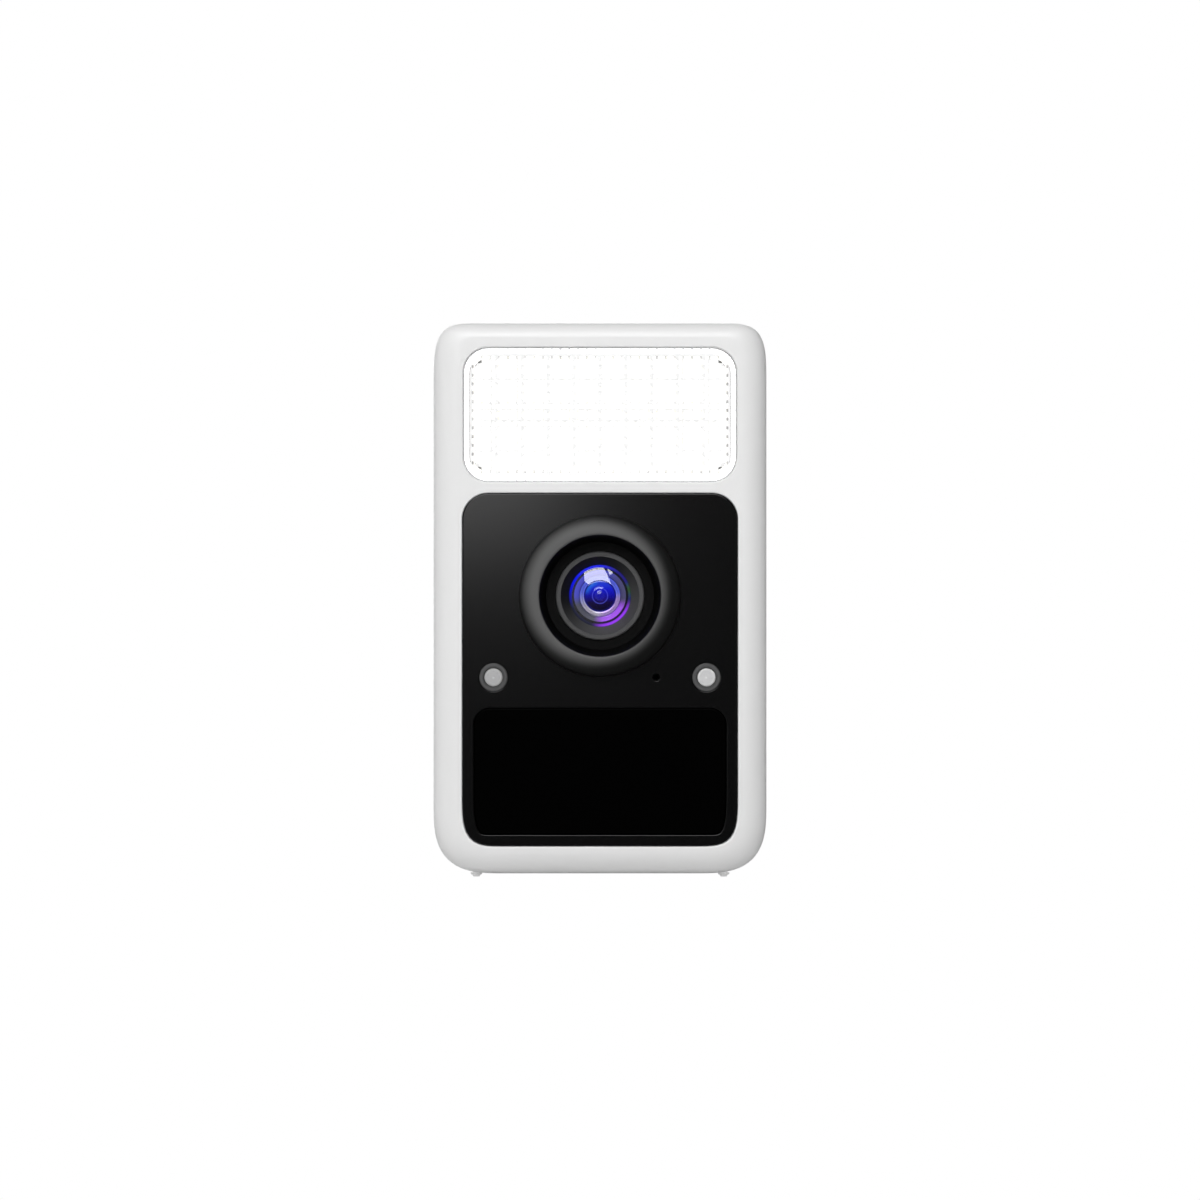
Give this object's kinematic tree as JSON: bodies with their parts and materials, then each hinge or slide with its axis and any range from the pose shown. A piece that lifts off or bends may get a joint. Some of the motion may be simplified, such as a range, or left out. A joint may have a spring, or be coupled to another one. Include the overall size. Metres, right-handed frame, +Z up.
{
  "type": "floodlight security camera",
  "caption": "Upright battery security camera with a prismatic floodlight above a black panel holding the lens, two small windows and a motion sensor.",
  "frame": {"origin": "middle of the footprint, on the surface the feet stand on", "axes": "+Z up, -Y out of the lens, +X to the right as seen from the front"},
  "size_m": [0.072, 0.0606, 0.1198],
  "materials": {
    "casing": "fine satin",
    "foot_rubber": "matte",
    "seal_rubber": "matte",
    "steel": "zinc plated",
    "plug": "matte",
    "light_lens": "clear with prisms",
    "reflector": "gloss white",
    "light_board": "white solder mask on aluminium",
    "led": "phosphor yellow",
    "heatsink": "as pressed",
    "panel": "semi-gloss black",
    "bezel": "satin black",
    "lens_black": "satin black",
    "barrel": "black anodised",
    "coated_glass": "coated",
    "filter_glass": "coated",
    "clear_glass": "clear",
    "inner_black": "matte",
    "magnet": "nickel plated",
    "copper": "wound wire on steel",
    "chip": "dark package",
    "board": "green solder mask",
    "collar": "smoky grey",
    "window": "milky",
    "pir_lens": "black, passes heat",
    "cell_wrap": "shrink wrap",
    "brass": "turned",
    "gold_film": "printed",
    "speaker": "matte",
    "card": "matte",
    "button": "matte",
    "red_wire": "insulated",
    "chassis": "matte"
  },
  "bodies": {
    "housing": {"front_shell": "casing", "rear_shell": "casing", "port_bay": "casing", "shell_seal": "seal_rubber", "screws": "steel", "screw_plugs": "plug", "feet": "foot_rubber", "light_lens": "light_lens", "light_seal": "seal_rubber", "light_reflector": "reflector", "light_board": "light_board", "light_leds": "led", "light_heatsink": "heatsink", "front_panel": "panel", "panel_seal": "seal_rubber", "lens_bezel": "bezel", "lens_surround": "lens_black", "lens_oring": "seal_rubber", "lens_barrel": "barrel", "lens_retainer": "barrel", "front_element": "coated_glass", "second_element": "coated_glass", "rear_element": "coated_glass", "lens_mount": "inner_black", "filter_drive": "copper", "image_sensor": "chip", "sensor_board": "board", "ir_collars": "collar", "ir_windows": "window", "ir_leds": "clear_glass", "front_board": "board", "microphone": "steel", "mic_boot": "seal_rubber", "pir_lens": "pir_lens", "pir_holder": "inner_black", "pir_sensor": "steel", "chassis": "chassis", "main_board": "board", "shield_can": "steel", "antenna": "gold_film", "speaker": "speaker", "battery_cells": "cell_wrap", "battery_board": "board", "battery_bracket": "inner_black", "thread_insert": "brass", "usb_port": "steel", "card_socket": "steel", "button_switches": "inner_black", "door_pin": "steel", "port_board": "board", "cables": "red_wire"},
    "door": {"service_door": "casing", "door_seal": "seal_rubber"},
    "card": {"memory_card": "card"},
    "reset_key": {"reset_button": "button"},
    "power_key": {"power_button": "button"},
    "filter_swing": {"filter_arm": "magnet"},
    "filter_carriage": {"filter_slider": "inner_black", "day_filter": "filter_glass", "night_filter": "clear_glass"}
  },
  "joints": [
    {"name": "door_hinge", "type": "hinge", "parent": "housing", "child": "door", "pos_m": [0, 0.029, 0.0102], "axis": [-1, 0, 0], "range_deg": [0, 100]},
    {"name": "card_slide", "type": "slide", "parent": "housing", "child": "card", "axis": [0, 1, 0], "range_m": [0, 0.003]},
    {"name": "reset_press", "type": "slide", "parent": "housing", "child": "reset_key", "axis": [0, -1, 0], "range_m": [0, 0.0005], "stiffness_N_per_m": 1500},
    {"name": "power_press", "type": "slide", "parent": "housing", "child": "power_key", "axis": [0, -1, 0], "range_m": [0, 0.0005], "stiffness_N_per_m": 1500},
    {"name": "filter_swing_hinge", "type": "hinge", "parent": "housing", "child": "filter_swing", "pos_m": [0, -0.0102, 0.07335], "axis": [0, -1, 0], "range_deg": [0, 40]},
    {"name": "filter_shift", "type": "slide", "parent": "housing", "child": "filter_carriage", "axis": [1, 0, 0], "range_m": [0, 0.00513]}
  ],
  "couplings": [
    {"joint": "filter_swing_hinge", "follows": "filter_shift", "rad_per_m": 136.08}
  ]
}
